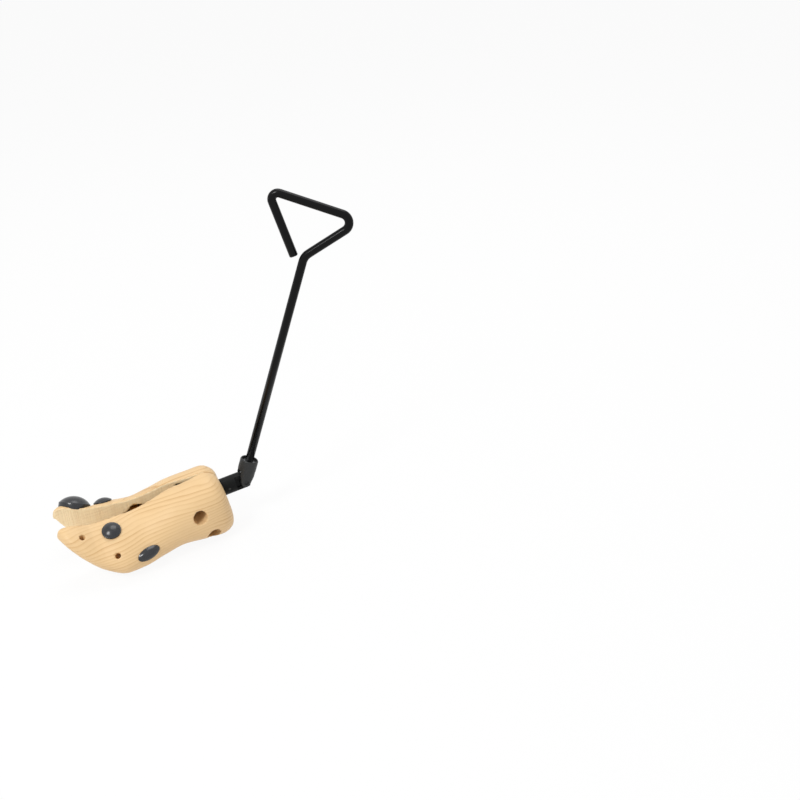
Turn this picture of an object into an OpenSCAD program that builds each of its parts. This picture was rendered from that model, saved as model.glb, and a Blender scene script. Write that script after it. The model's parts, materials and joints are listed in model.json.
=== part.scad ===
// Two-way shoe stretcher: a wooden last sawn lengthwise into two halves that
// hinge at the heel and are spread by a screw, with push-in spot plugs.
// Frame: millimetres, +Z up, toe at -X, sole on z = 0, the slit is the plane
// y = 0 and the heel hinge is the Z axis. Modelled half open.

/* [Last] */
// length of the wood from toe to heel
last_len = 168; // [160:1:180]
// width of the closed last across the ball
ball_w = 90; // [86:1:96]
// height of the wood at the heel
heel_h = 68; // [66:1:74]
// saw cut between the closed halves
kerf = 1.0; // [0.8:0.1:1.6]
// rounding of the heel end
heel_round = 15; // [12:1:18]

/* [Opening] */
// angle of each half from the closed position, as modelled
open_rest = 7; // [3:0.5:8]
// largest angle of each half
open_max = 8.5; // [8:0.5:9.5]
// travel of the spreader nut for one degree of each half
lead = 2.5; // [2:0.25:2.75]

/* [Plugs] */
// diameter of the round spot plugs
plug_d = 18; // [16:1:22]
// height of a spot plug above the wood
plug_rise = 4; // [3.5:0.5:6]
// length of the oval plug
oval_l = 23; // [20:1:26]
// width of the oval plug
oval_w = 11.5; // [10:0.5:14]
// diameter of the large bunion plug
bunion_d = 30.5; // [28:0.5:36]
// height of the bunion plug above the wood
bunion_rise = 9; // [8:0.5:12]
// diameter of the peg holes
peg_hole_d = 5.6; // [5:0.1:6.4]
// depth of the peg holes
peg_hole_depth = 13; // [12:0.5:14]

/* [Heel hardware] */
// diameter of the counterbored bolt holes
counterbore_d = 14; // [12:0.5:15]
// diameter of the heel bolts
bolt_d = 5; // [4:0.5:5.5]
// diameter of the bearing drum
drum_d = 20; // [18:0.5:20.5]
// thickness of the hinge leaves
leaf_t = 2.5; // [2:0.1:2.6]

/* [Spindle] */
// diameter of the spindle
spindle_d = 8; // [7:0.5:8.5]
// diameter of the spindle fork
fork_d = 18; // [17:0.5:19]
// tilt of the spindle above level
tilt = 8; // [6:0.5:9]
// distance from the heel hinge to the universal joint
joint_x = 43; // [42:1:50]

/* [Handle] */
// diameter of the bent handle rod
rod_d = 8.4; // [8:0.1:9.4]
// length from the universal joint to the first bend
rod_len = 240; // [200:5:280]
// diameter of the socket on the handle
socket_d = 18.5; // [17:0.5:19.5]
// lean of the rod back from upright
lean = 21.3; // [19:0.1:40]
// height of the triangular grip
grip_h = 49; // [44:1:56]
// width of the triangular grip between its corners
grip_w = 92; // [84:1:98]
// turn of the grip about the rod
grip_turn = 27; // [0:1:60]
// bend radius of the grip's right corner, to the middle of the rod
bend_r = 8.5; // [8:0.5:11]

/* [Hidden] */

$fn = 64;
run_gap = 0.05;      // radial gap of every turning or sliding fit
fix_gap = 0.05;      // radial gap round fixed pins and bolts
seat_gap = 0.3;      // gap under a plug head
wood = [0.93, 0.79, 0.58];
black = [0.06, 0.06, 0.07];
satin = [0.17, 0.17, 0.19];
steel = [0.55, 0.56, 0.58];
brass = [0.72, 0.60, 0.34];

// The last's surface
// place along the last, half width, top, sole, widest line, upper and lower
// roundness; widths are parts of half the ball, heights parts of the heel
shape = [
  [0.000, 0.009, 0.697, 0.667, 0.676, 1.78, 2.37],
  [0.012, 0.181, 0.783, 0.641, 0.659, 1.78, 2.36],
  [0.042, 0.385, 0.812, 0.527, 0.611, 1.74, 2.36],
  [0.107, 0.593, 0.787, 0.302, 0.489, 1.53, 2.28],
  [0.200, 0.806, 0.726, 0.082, 0.317, 1.35, 2.09],
  [0.310, 0.986, 0.725, -0.031, 0.255, 1.46, 2.14],
  [0.420, 0.928, 0.735, -0.035, 0.262, 1.45, 2.24],
  [0.536, 0.857, 0.789, -0.009, 0.327, 1.74, 2.16],
  [0.667, 0.834, 0.888, 0.054, 0.384, 2.02, 2.21],
  [0.804, 0.823, 0.922, 0.023, 0.390, 2.52, 2.50],
  [0.920, 0.792, 0.969, -0.035, 0.414, 2.66, 2.22],
  [1.000, 0.756, 0.903, -0.033, 0.414, 2.43, 1.52]];
heel_back = 21;                 // wood behind the hinge at the heel
heel_edge = 4;                  // rounding of the heel's upper and lower edges
toe_x = heel_back - last_len;
rows = len(shape) - 1;

function slope(k, i) = (shape[i+1][k] - shape[i][k]) / (shape[i+1][0] - shape[i][0]);
function tangent(k, i) =
  i == 0 ? slope(k, 0) : i == rows ? slope(k, rows - 1) :
  let(a = slope(k, i - 1), b = slope(k, i)) a * b <= 0 ? 0 : 2 * a * b / (a + b);
function span(u, i = 0) = (i >= rows - 1 || u <= shape[i+1][0]) ? i : span(u, i + 1);
// value k of the shape at place u, a smooth curve through the rows
function val(k, u) =
  let(i = span(u), h = shape[i+1][0] - shape[i][0], t = (u - shape[i][0]) / h)
  (2*t*t*t - 3*t*t + 1) * shape[i][k] + (t*t*t - 2*t*t + t) * h * tangent(k, i)
  + (3*t*t - 2*t*t*t) * shape[i+1][k] + (t*t*t - t*t) * h * tangent(k, i + 1);

// how far a rounding of radius r at the heel draws the skin in
function inset(u, r) = let(d = max(0, u * last_len - last_len + r)) r - sqrt(max(0, r * r - d * d));
function heel_rake(u) = 0.21 * pow(max(0, (u - 0.595) / 0.48), 1.3);
// point of the right half's skin at place u and angle a (90 top, -90 sole)
function skin(u, a) =
  let(c = inset(u, heel_edge),
      w = val(1, u) * ball_w / 2 - inset(u, heel_round),
      zt = val(2, u) * heel_h - c,
      zb = val(3, u) * heel_h + c,
      zm = val(4, u) * heel_h,
      e = a >= 0 ? val(5, u) : val(6, u),
      y = w * pow(max(0, cos(a)), 2 / e),
      z = a >= 0 ? zm + (zt - zm) * pow(sin(a), 2 / e)
                 : zm - (zm - zb) * pow(-sin(a), 2 / e))
  [toe_x + u * last_len - heel_rake(u) * (z - 20), kerf / 2 + y, z];
// outward normal of the skin
function skin_n(u, a) =
  let(p = skin(u + 0.004, a) - skin(u - 0.004, a),
      q = skin(u, a + 1) - skin(u, a - 1), n = cross(p, q))
  n / norm(n) * (n[1] > 0 ? 1 : -1);

places = concat([0, 0.002, 0.006, 0.012, 0.021, 0.033, 0.048, 0.068, 0.09],
  [for (u = [0.115:0.0315:0.895]) u],
  [for (a = [0, 20, 40]) (last_len - heel_round + heel_round * sin(a)) / last_len],
  [for (a = [0, 25, 50, 75, 90]) (last_len - heel_edge + heel_edge * sin(a)) / last_len]);
arc = [for (i = [0:26]) 90 - 180 * i / 26];
na = len(arc);
np = len(places);

module skin_solid() {
  pts = [for (u = places) for (a = arc) skin(u, a)];
  side = [for (i = [0:np-2]) for (j = [0:na-1])
    let(p = i*na + j, q = i*na + (j + 1) % na, r = p + na, s = q + na)
    for (f = [[p, q, s], [p, s, r]]) f];
  toe = [for (j = [1:na-2]) [0, j + 1, j]];
  m = (np - 1) * na;
  heel = [for (j = [1:na-2]) [m, m + j, m + j + 1]];
  polyhedron(points = pts, faces = concat(side, toe, heel), convexity = 6);
}

// Frames
spindle_h = 0.59 * heel_h;                    // spindle height at the hinge
joint = [joint_x, 0, spindle_h + joint_x * tan(tilt)];
hinge_s = -joint_x / cos(tilt);               // the hinge along the spindle

// along +X of the spindle, from the universal joint
module on_spindle(s = 0) translate(joint) rotate([0, -tilt, 0]) translate([s, 0, 0]) children();
// +Z along the handle rod, +X back, from the universal joint
module on_handle(s = 0) translate(joint) rotate([0, lean, 0]) translate([0, 0, s]) children();
module along_x(h, r) rotate([0, 90, 0]) cylinder(h = h, r = r);
// +Z on the skin's normal at a point of the right half
module on_skin(p, n) translate(p) rotate([0, acos(n[2]), atan2(n[1], n[0])]) children();
module as_right() rotate([0, 0, -open_rest]) children();
module as_left() rotate([0, 0, open_rest]) mirror([0, 1, 0]) children();

// peg holes: front, top, low front and side, shared by both halves
front_at = [0.124, 52.7];
top_at = [0.284, 61.6];
low_at = [0.268, 26.9];
side_at = [0.435, 12.6];
holes = [front_at, top_at, low_at, side_at];
oval_turn = 78;                              // the oval plug in its hole
module at_hole(h) on_skin(skin(h[0], h[1]), skin_n(h[0], h[1])) children();

// Heel hinge sizes
drum_h = 19;
drum_lo = spindle_h - drum_h / 2;
drum_hi = spindle_h + drum_h / 2;
pin_r = 3.2;
eye_r = 6.3;
lug_t = leaf_t;
lug_step = lug_t + 0.3;
hinge_lo = drum_lo - 2 * lug_step;            // outer faces of the outer eyes
hinge_hi = drum_hi + 2 * lug_step;
leaf_y = drum_d / 2 - 0.8;                    // inner face of a leaf's plate
leaf_back = -8;
leaf_front = -26;
leaf_lo = 6.5;
bolt_hi = [-17, spindle_h - 2.3];
bolt_lo = [-5, 12];
bore_floor = 14;                              // depth of the counterbores, from the slit
flat_s = 8.5;                                 // drum faces along the spindle
bolt_head_r = 4.8;
bolt_head_h = 3.2;

// Spreader sizes
rest_x = -66;                                 // nut centre as modelled
step_x = lead * cos(tilt);
nut_x = function(a) rest_x - (a - open_rest) * step_x;
nut_len = 12;
nut_h = 12;
nut_y = 20;
nut_pin_y = 16.5;
nut_pin_r = 2.5;
cam_gap = 0.2;
cam_z = 15;
cam_t = 2.5;
cam_a = nut_x(open_max) - 8;                  // front edge of the cam plates
cam_b = nut_x(0) + 7;
axis_z = function(x) spindle_h + x * tan(tilt);
pocket_lo = 10.5;
pocket_up = 7.5;                              // the pocket's roof above the spindle
flange_lo = 3.5;
cam_screw_z = 7;
screw_f = cam_a + 7;
screw_r = cam_b - 7;

// Wood
module plate_xz(y0, y1, poly) translate([0, y1, 0]) rotate([90, 0, 0])
  linear_extrude(y1 - y0) polygon(poly);
module box(a, b) translate(a) cube(b - a);

// right half, closed position
module half_closed() difference() {
  skin_solid();
  // flat sole
  box([-200, -5, -20], [60, 80, 0]);
  // relief behind the hinge, so that the opened halves do not meet
  translate([0, kerf / 2, 0]) rotate([0, 0, open_max + 0.2]) box([0, -40, -5], [60, 0, heel_h + 10]);
  // hinge pocket
  box([leaf_front - 0.4, -5, leaf_lo - 0.4], [leaf_back + 0.4, leaf_y + leaf_t, hinge_hi + 2.4]);
  box([leaf_back, -5, hinge_lo - 2.4], [0, leaf_y + leaf_t, hinge_hi + 2.4]);
  box([leaf_back, -5, leaf_lo - 0.4], [bolt_lo[0] + 6.4, leaf_y + leaf_t, 19]);
  translate([0, 0, drum_lo - 0.6]) cylinder(h = drum_h + 1.2, r = drum_d / 2 + 0.7);
  translate([0, 0, hinge_lo - 2.4]) cylinder(h = hinge_hi - hinge_lo + 4.8, r = eye_r + 0.8);
  // spindle channel and the way out for the fork, over the whole swing
  on_spindle(nut_x(0) - joint_x - 70) along_x(joint_x - nut_x(0) + 60, spindle_d / 2 + 0.9);
  for (a = [0, open_max / 2, open_max]) rotate([0, 0, a])
    on_spindle(hinge_s + flat_s - 2) along_x(60, fork_d / 2 + 0.6);
  // spreader pocket and the seat of the cam plate's flange
  plate_xz(-5, nut_y + 1.5, [[stop_front - 1, pocket_lo], [cam_b + 1, pocket_lo],
    [cam_b + 1, axis_z(cam_b + 1) + pocket_up], [stop_front - 1, axis_z(stop_front - 1) + pocket_up]]);
  // its upper edge as the slit shows it
  plate_xz(-5, 8, [[stop_front + 3, pocket_lo], [stop_front + 3, 37.5], [stop_front + 9, 43.8],
    [stop_front + 20, 42], [stop_front + 20, pocket_lo]]);
  box([cam_a - 0.3, -5, flange_lo - 0.3], [cam_b + 0.3, kerf / 2 + cam_t, pocket_lo + 1]);
  for (x = [screw_f, screw_r]) translate([x, 0, cam_screw_z]) rotate([-90, 0, 0])
    cylinder(h = 18, r = 1.75 + fix_gap);
  // counterbores with their bolt holes
  for (b = [bolt_hi, bolt_lo]) translate([b[0], 0, b[1]]) rotate([-90, 0, 0]) {
    cylinder(h = 60, r = bolt_d / 2 + fix_gap);
    translate([0, 0, bore_floor]) cylinder(h = 60, r = counterbore_d / 2);
  }
  // peg holes
  for (h = holes) at_hole(h) translate([0, 0, -peg_hole_depth])
    cylinder(h = peg_hole_depth + 8, r = peg_hole_d / 2);
}
// flat seats under the plug heads
module seat(hole, r) at_hole(hole) translate([0, 0, seat_gap / 3]) cylinder(h = 8, r = r + 0.3);
module oval_seat() at_hole(side_at) rotate([0, 0, oval_turn]) translate([0, 0, seat_gap / 3])
  linear_extrude(8) polygon([for (j = [0:oval_n-1]) let(a = 360 * j / oval_n)
    [(oval_l / 2 + 0.3) * cos(a), (oval_w / 2 + 0.3) * sin(a)]]);
module right_half() color(wood) as_right() difference() {
  half_closed();
  seat(top_at, plug_d / 2);
  seat(front_at, bunion_d / 2);
}
module left_half() color(wood) as_left() difference() {
  half_closed();
  seat(top_at, plug_d / 2);
  oval_seat();
}

// Hinge
module bearing_drum() color(steel) difference() {
  union() {
    intersection() {
      translate([0, 0, drum_lo]) cylinder(h = drum_h, r = drum_d / 2);
      on_spindle(hinge_s - flat_s) translate([0, -20, -30]) cube([2 * flat_s, 40, 60]);
    }
    translate([0, 0, hinge_lo - 1.6]) cylinder(h = hinge_hi - hinge_lo + 3.2, r = pin_r);
  }
  on_spindle(hinge_s - 20) along_x(40, spindle_d / 2 + run_gap);
}
module clip(z) translate([0, 0, z]) difference() {
  cylinder(h = 1, r = pin_r + 2);
  translate([0, 0, -1]) cylinder(h = 3, r = pin_r);
}
module upper_clip() color(satin) clip(hinge_hi + 0.3);
module lower_clip() color(satin) clip(hinge_lo - 1.3);

// leaf of the right half; k = 0 carries the inner pair of eyes, 1 the outer
module leaf(k) difference() {
  union() {
    plate_xz(leaf_y, leaf_y + leaf_t, [[leaf_front, leaf_lo], [bolt_lo[0] + 6, leaf_lo],
      [bolt_lo[0] + 6, 18.5], [leaf_back, 18.5], [leaf_back, drum_hi + lug_step * (k + 1)],
      [leaf_front, drum_hi + lug_step * (k + 1)]]);
    for (z = [drum_hi + 0.3 + lug_step * k, drum_lo - lug_step * (k + 1)])
      translate([0, 0, z]) {
        cylinder(h = lug_t, r = eye_r);
        linear_extrude(lug_t) polygon([[leaf_front, 3.2], [-5.45, 3.2], [0, eye_r - 0.05],
          [leaf_back, leaf_y + leaf_t], [leaf_front, leaf_y + leaf_t]]);
      }
  }
  translate([0, 0, -1]) cylinder(h = 100, r = pin_r + run_gap);
  for (b = [bolt_hi, bolt_lo]) translate([b[0], 0, b[1]]) rotate([-90, 0, 0])
    cylinder(h = 40, r = bolt_d / 2 + fix_gap);
}
module right_leaf() color(steel) as_right() leaf(1);
module left_leaf() color(steel) as_left() leaf(0);

module heel_bolt(b) translate([b[0], leaf_y, b[1]]) rotate([-90, 0, 0]) difference() {
  union() {
    cylinder(h = bore_floor - leaf_y, r = bolt_d / 2);
    translate([0, 0, bore_floor - leaf_y]) cylinder(h = bolt_head_h, r = bolt_head_r);
  }
  translate([0, 0, bore_floor - leaf_y + 1.2]) cylinder(h = 4, r = 2.3, $fn = 6);
}
module right_bolt_upper() color(satin) as_right() heel_bolt(bolt_hi);
module right_bolt_lower() color(satin) as_right() heel_bolt(bolt_lo);
module left_bolt_upper() color(satin) as_left() heel_bolt(bolt_hi);
module left_bolt_lower() color(satin) as_left() heel_bolt(bolt_lo);

// Cam plates
// centre of the nut's pin in the right half's frame, at opening a
function cam_pt(a) = [nut_x(a) * cos(a) - nut_pin_y * sin(a), nut_x(a) * sin(a) + nut_pin_y * cos(a)];
cam_steps = [for (i = [0:18]) -0.5 + (open_max + 1) * i / 18];
function cam_off(a, d) =
  let(t = cam_pt(a + 0.1) - cam_pt(a - 0.1), n = [-t[1], t[0]] / norm(t)) cam_pt(a) + d * n;
module cam_slot() {
  r = nut_pin_r + cam_gap;
  linear_extrude(20) polygon(concat([for (a = cam_steps) cam_off(a, r)],
    [for (i = [18:-1:0]) cam_off(cam_steps[i], -r)]));
  for (a = [cam_steps[0], cam_steps[18]]) translate(cam_pt(a)) cylinder(h = 20, r = r);
}
module cam_plate() difference() {
  union() {
    box([cam_a, kerf / 2, cam_z], [cam_b, nut_y + 0.5, cam_z + cam_t]);
    box([cam_a, kerf / 2, flange_lo], [cam_b, kerf / 2 + cam_t, cam_z + cam_t]);
  }
  translate([0, 0, cam_z - 5]) intersection() {
    cam_slot();
    box([cam_a - 1, kerf / 2 + cam_t + 0.1, 0], [cam_b + 1, nut_y + 5, 20]);
  }
  for (x = [screw_f, screw_r]) translate([x, kerf / 2, cam_screw_z]) rotate([-90, 0, 0]) {
    translate([0, 0, -1]) cylinder(h = 5, r = 1.75 + fix_gap);
    translate([0, 0, -0.01]) cylinder(h = 1.81, r1 = 3.5 + fix_gap, r2 = 1.75 + fix_gap);
  }
}
module cam_screw(x) translate([x, kerf / 2 + 0.05, cam_screw_z]) rotate([-90, 0, 0]) difference() {
  union() {
    cylinder(h = 1.75, r1 = 3.5, r2 = 1.75);
    translate([0, 0, 1.7]) cylinder(h = 14, r = 1.75);
  }
  translate([-2.4, -0.4, -1]) cube([4.8, 0.8, 1.8]);
}
module right_cam() color(steel) as_right() cam_plate();
module left_cam() color(steel) as_left() cam_plate();
module right_cam_screw_front() color(satin) as_right() cam_screw(screw_f);
module right_cam_screw_rear() color(satin) as_right() cam_screw(screw_r);
module left_cam_screw_front() color(satin) as_left() cam_screw(screw_f);
module left_cam_screw_rear() color(satin) as_left() cam_screw(screw_r);

// Spindle
fork_root = hinge_s + flat_s + 1.6;           // fork's shoulder
fork_floor = -10.2;                           // floor of the fork's slot
slot_a = 9.4;                                 // slot in the spindle fork
slot_b = 11.2;                                // slot in the handle yoke
pivot_r = 2.2;
arm_a = 4.2;                                  // half width of a fork arm
arm_b = 5;                                    // end radius of a yoke arm
spindle_end = (nut_x(open_max) - nut_len / 2 - 4 - joint_x) / cos(tilt);
stop_r = 6.2;                                 // end stop
stop_front = joint_x + (spindle_end + 1) * cos(tilt) - stop_r * sin(tilt);
web_y = 3;                                    // half width of the web in the fork's slot
web_end = -6.1;
cross_r = 5.8;                                // rounded ends of the cross block
socket_top = 22.7;
roll_pin_at = 16;                             // rod's roll pin above the yoke pin
cup_floor = 19.6;                             // floor of the socket's cup
rim_t = 1.3;                                  // thickness of the cup's rim
pin_sink = 1.1;                               // how deep the yoke pin's ends lie
module spindle() color(steel) difference() {
  on_spindle(spindle_end) along_x(fork_floor - 3 - spindle_end, spindle_d / 2);
  on_spindle(-18) rotate([90, 0, 0]) translate([0, 0, -20]) cylinder(h = 40, r = 1.5 + fix_gap);
}
module spindle_fork() color(black) on_spindle() union() {
  fork_body();
  translate([fork_floor - 1, -web_y, -slot_a / 2 - 1])
    cube([web_end - fork_floor + 1, 2 * web_y, slot_a + 2]);
}
module fork_body() difference() {
  union() {
    translate([fork_root, 0, 0]) along_x(fork_floor - fork_root, fork_d / 2);
    intersection() {
      translate([fork_floor - 1, 0, 0]) along_x(20, fork_d / 2);
      union() {
        translate([fork_floor - 1, -arm_a, -20]) cube([-fork_floor + 1, 2 * arm_a, 40]);
        translate([0, 0, -20]) cylinder(h = 40, r = arm_a);
      }
    }
  }
  translate([fork_floor, -20, -slot_a / 2]) cube([40, 40, slot_a]);
  translate([0, 0, -20]) cylinder(h = 40, r = pivot_r + run_gap);
  translate([fork_root - 1, 0, 0]) along_x(fork_floor - 3 - fork_root + 1, spindle_d / 2 + fix_gap);
  translate([-18, 0, 0]) rotate([90, 0, 0]) translate([0, 0, -20]) cylinder(h = 40, r = 1.5 + fix_gap);
}
module fork_roll_pin() color(satin) on_spindle(-18) rotate([90, 0, 0])
  translate([0, 0, -fork_d / 2 + 0.3]) cylinder(h = fork_d - 0.6, r = 1.5);
module ring_x(s, h, r, ri) on_spindle(s) difference() {
  along_x(h, r);
  translate([-1, 0, 0]) along_x(h + 2, ri);
}
module thrust_washer() color(brass) ring_x(hinge_s + flat_s + 0.1, 1.4, 7.5, spindle_d / 2 + fix_gap);
collar_at = hinge_s - flat_s - 6.1;
module spindle_collar() color(satin) difference() {
  ring_x(collar_at, 6, 7.2, spindle_d / 2 + fix_gap);
  on_spindle(collar_at + 3) cylinder(h = 20, r = 1.5 + fix_gap);
}
module collar_screw() color(steel) on_spindle(collar_at + 3)
  translate([0, 0, spindle_d / 2 + 0.1]) difference() {
    cylinder(h = 2.9, r = 1.5);
    translate([0, 0, 1.7]) cylinder(h = 3, r = 0.75, $fn = 6);
  }
module end_stop() color(satin) ring_x(spindle_end + 1, 2, stop_r, spindle_d / 2 + fix_gap);

// Spreader nut
nut_s = (rest_x - joint_x) / cos(tilt);
module spreader_nut() color(brass) difference() {
  on_spindle(nut_s) difference() {
    translate([-nut_len / 2, -nut_y, -nut_h / 2]) cube([nut_len, 2 * nut_y, nut_h]);
    translate([-20, 0, 0]) along_x(40, spindle_d / 2 + run_gap);
  }
  for (y = [-nut_pin_y, nut_pin_y]) translate([rest_x, y, cam_z - 5])
    cylinder(h = axis_z(rest_x) - cam_z + 7, r = nut_pin_r + fix_gap);
}
module nut_pin(y) translate([rest_x, y, cam_z - 3])
  cylinder(h = axis_z(rest_x) - cam_z + 5, r = nut_pin_r);
module nut_pin_left() color(steel) nut_pin(-nut_pin_y);
module nut_pin_right() color(steel) nut_pin(nut_pin_y);

// Universal joint
module cross_block() color(satin) on_spindle() difference() {
  intersection() {
    translate([0, 0, -slot_a / 2 + 0.15]) cylinder(h = slot_a - 0.3, r = cross_r);
    translate([-10, -slot_b / 2 + 0.15, -10]) cube([20, slot_b - 0.3, 20]);
  }
  translate([0, 0, -20]) cylinder(h = 40, r = pivot_r);
  rotate([90, 0, 0]) translate([0, 0, -20]) cylinder(h = 40, r = pivot_r);
}
module yoke_pin() color(steel) translate(joint) rotate([90, 0, 0])
  translate([0, 0, -socket_d / 2 + pin_sink]) cylinder(h = socket_d - 2 * pin_sink, r = pivot_r);
module fork_pin_half() on_spindle() difference() {
  translate([0, 0, 0]) cylinder(h = fork_d / 2 + 0.2, r = pivot_r);
  rotate([90, 0, 0]) translate([0, 0, -20]) cylinder(h = 40, r = pivot_r + 0.02);
}
module fork_pin_top() color(steel) fork_pin_half();
module fork_pin_bottom() color(steel) translate(joint) rotate([0, -tilt, 0]) rotate([180, 0, 0])
  rotate([0, tilt, 0]) translate(-joint) fork_pin_half();

// Handle
module handle_yoke() color(satin) on_handle() difference() {
  intersection() {
    union() {
      translate([0, 0, 10]) cylinder(h = socket_top - 10, r = socket_d / 2);
      intersection() {
        translate([0, 0, -12]) cylinder(h = 24, r = socket_d / 2);
        rotate([90, 0, 0]) translate([0, 0, -20]) union() {
          cylinder(h = 40, r = arm_b);
          linear_extrude(40)
            polygon([[-arm_b, 0], [arm_b, 0], [socket_d / 2 + 0.1, 11], [-socket_d / 2 - 0.1, 11]]);
        }
      }
    }
    union() {
      translate([0, 0, -12]) cylinder(h = socket_top + 11, r = socket_d / 2 + 1);
      translate([0, 0, socket_top - 1]) cylinder(h = 1, r1 = socket_d / 2, r2 = socket_d / 2 - 0.6);
    }
  }
  translate([-20, -slot_b / 2, -20]) cube([40, slot_b, 31]);
  rotate([90, 0, 0]) translate([0, 0, -20]) cylinder(h = 40, r = pivot_r + run_gap);
  translate([0, 0, 12.5]) cylinder(h = 20, r = rod_d / 2 + fix_gap);
  translate([0, 0, cup_floor]) cylinder(h = 10, r = socket_d / 2 - rim_t);
  translate([0, 0, roll_pin_at]) rotate([0, 90, 0]) translate([0, 0, -20])
    cylinder(h = 40, r = 1.5 + fix_gap);
}
// the bent rod lies in one plane: x across the grip, z along the rod
grip_side = -3.4;                             // middle of the grip beside the rod
bar_rise = 2;                                 // left corner above the right one
grip_pts = [[0, 12.8], [0, rod_len], [grip_side + grip_w / 2, rod_len + grip_h],
  [grip_side - grip_w / 2, rod_len + grip_h + bar_rise], [-rod_d - 0.9, rod_len - 2.7]];
bends = [0, 14, bend_r, bend_r - 2.5];        // neck, right corner, left corner
function unit(v) = v / norm(v);
function turn(i) = let(a = unit(grip_pts[i] - grip_pts[i-1]), b = unit(grip_pts[i+1] - grip_pts[i]))
  acos(a * b);
function trim(i) = bends[i] * tan(turn(i) / 2);
function spin(v, a) = [v[0] * cos(a) - v[1] * sin(a), v[0] * sin(a) + v[1] * cos(a)];
// points of the bend at vertex i, each with its direction
function bend_at(i) =
  let(c = unit(grip_pts[i] - grip_pts[i-1]), d = unit(grip_pts[i+1] - grip_pts[i]),
      s = sign(c[0] * d[1] - c[1] * d[0]), e = grip_pts[i] - c * trim(i),
      m = e + s * bends[i] * [-c[1], c[0]], n = ceil(turn(i) / 11))
  [for (k = [0:n]) [m + spin(e - m, s * turn(i) * k / n), spin(c, s * turn(i) * k / n)]];
rod_end = grip_pts[4];
rod_dir = unit(grip_pts[4] - grip_pts[3]);
rod_path = concat([[grip_pts[0], [0, 1], 1]], [for (i = [1:3]) for (b = bend_at(i)) [b[0], b[1], 1]],
  [[rod_end - rod_dir * 0.8, rod_dir, 1], [rod_end, rod_dir, 0.8]]);
module bent_rod() {
  n = 24;
  m = len(rod_path);
  pts = [for (p = rod_path) for (j = [0:n-1]) let(r = rod_d / 2 * p[2], a = 360 * j / n)
    [p[0][0] - r * cos(a) * p[1][1], r * sin(a), p[0][1] + r * cos(a) * p[1][0]]];
  polyhedron(points = pts, convexity = 6, faces = concat(
    [for (i = [0:m-2]) for (j = [0:n-1]) let(p = i*n + j, q = i*n + (j + 1) % n)
      for (f = [[p, q, q + n], [p, q + n, p + n]]) f],
    [for (j = [1:n-2]) [0, j + 1, j]],
    [for (j = [1:n-2]) [(m-1)*n, (m-1)*n + j, (m-1)*n + j + 1]]));
}
module handle_rod() color(black) difference() {
  on_handle() rotate([0, 0, -grip_turn]) bent_rod();
  on_handle(roll_pin_at) rotate([0, 90, 0]) translate([0, 0, -20]) cylinder(h = 40, r = 1.5 + fix_gap);
}
module rod_roll_pin() color(satin) on_handle(roll_pin_at) rotate([0, 90, 0])
  translate([0, 0, -socket_d / 2 + 0.3]) cylinder(h = socket_d - 0.6, r = 1.5);

// Plugs
rim_part = 0.22;                              // share of a plug's height in its rim
edge_in = 0.4;                                // the dome starts inside the rim
function dome_r(r, cap) = (r * r + cap * cap) / (2 * cap);
module peg() translate([0, 0, 1 - peg_hole_depth])
  cylinder(h = peg_hole_depth - 0.5 + seat_gap, r = peg_hole_d / 2 - run_gap);
module plug(d, rise) {
  rim = rise * rim_part;
  r = d / 2 - edge_in;
  big = dome_r(r, rise - rim);
  peg();
  translate([0, 0, seat_gap]) {
    cylinder(h = rim, r = d / 2);
    intersection() {
      translate([0, 0, rise - big]) sphere(r = big, $fn = 96);
      cylinder(h = rise + 1, r = r);
    }
  }
}
// the oval cap as rings of points, from the rim up and over
oval_n = 40;
module oval_cap(rise) {
  cap = rise * (1 - rim_part);
  r = oval_w / 2 - edge_in;
  ball = dome_r(r, cap);
  edge = asin(r / ball);
  steps = 6;
  rings = concat([[1, 0], [1, rise - cap]],
    [for (i = [0:steps-1]) let(a = edge * (1 - i / steps))
      [2 * ball * sin(a) / oval_w, rise - ball + ball * cos(a) + 0.02]]);
  m = len(rings) - 1;
  pts = concat([for (p = rings) for (j = [0:oval_n-1])
    [oval_l / 2 * p[0] * cos(360 * j / oval_n), oval_w / 2 * p[0] * sin(360 * j / oval_n), p[1]]],
    [[0, 0, rise + 0.02]]);
  side = [for (i = [0:m-1]) for (j = [0:oval_n-1])
    let(p = i * oval_n + j, q = i * oval_n + (j + 1) % oval_n, u = p + oval_n, v = q + oval_n)
    for (f = [[p, u, v], [p, v, q]]) f];
  top = [for (j = [0:oval_n-1]) [m * oval_n + (j + 1) % oval_n, m * oval_n + j, len(pts) - 1]];
  base = [for (j = [1:oval_n-2]) [0, j, j + 1]];
  polyhedron(points = pts, faces = concat(side, top, base), convexity = 2);
}
module oval_plug(rise) {
  peg();
  rotate([0, 0, oval_turn]) translate([0, 0, seat_gap]) oval_cap(rise);
}
module left_top_plug() color(black) as_left() at_hole(top_at) plug(plug_d, plug_rise);
module left_side_plug() color(black) as_left() at_hole(side_at) oval_plug(plug_rise);
module right_top_plug() color(black) as_right() at_hole(top_at) plug(plug_d, plug_rise);
module bunion_plug() color(black) as_right() at_hole(front_at) plug(bunion_d, bunion_rise);

bearing_drum();
upper_clip();
lower_clip();
left_half();
left_leaf();
left_bolt_upper();
left_bolt_lower();
left_cam();
left_cam_screw_front();
left_cam_screw_rear();
right_half();
right_leaf();
right_bolt_upper();
right_bolt_lower();
right_cam();
right_cam_screw_front();
right_cam_screw_rear();
spindle();
spindle_fork();
fork_roll_pin();
thrust_washer();
spindle_collar();
collar_screw();
end_stop();
spreader_nut();
nut_pin_left();
nut_pin_right();
cross_block();
yoke_pin();
fork_pin_top();
fork_pin_bottom();
handle_yoke();
handle_rod();
rod_roll_pin();
left_top_plug();
left_side_plug();
right_top_plug();
bunion_plug();
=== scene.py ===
import json
import math

import bmesh
import bpy
from mathutils import Matrix, Vector
from mathutils.bvhtree import BVHTree


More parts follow.
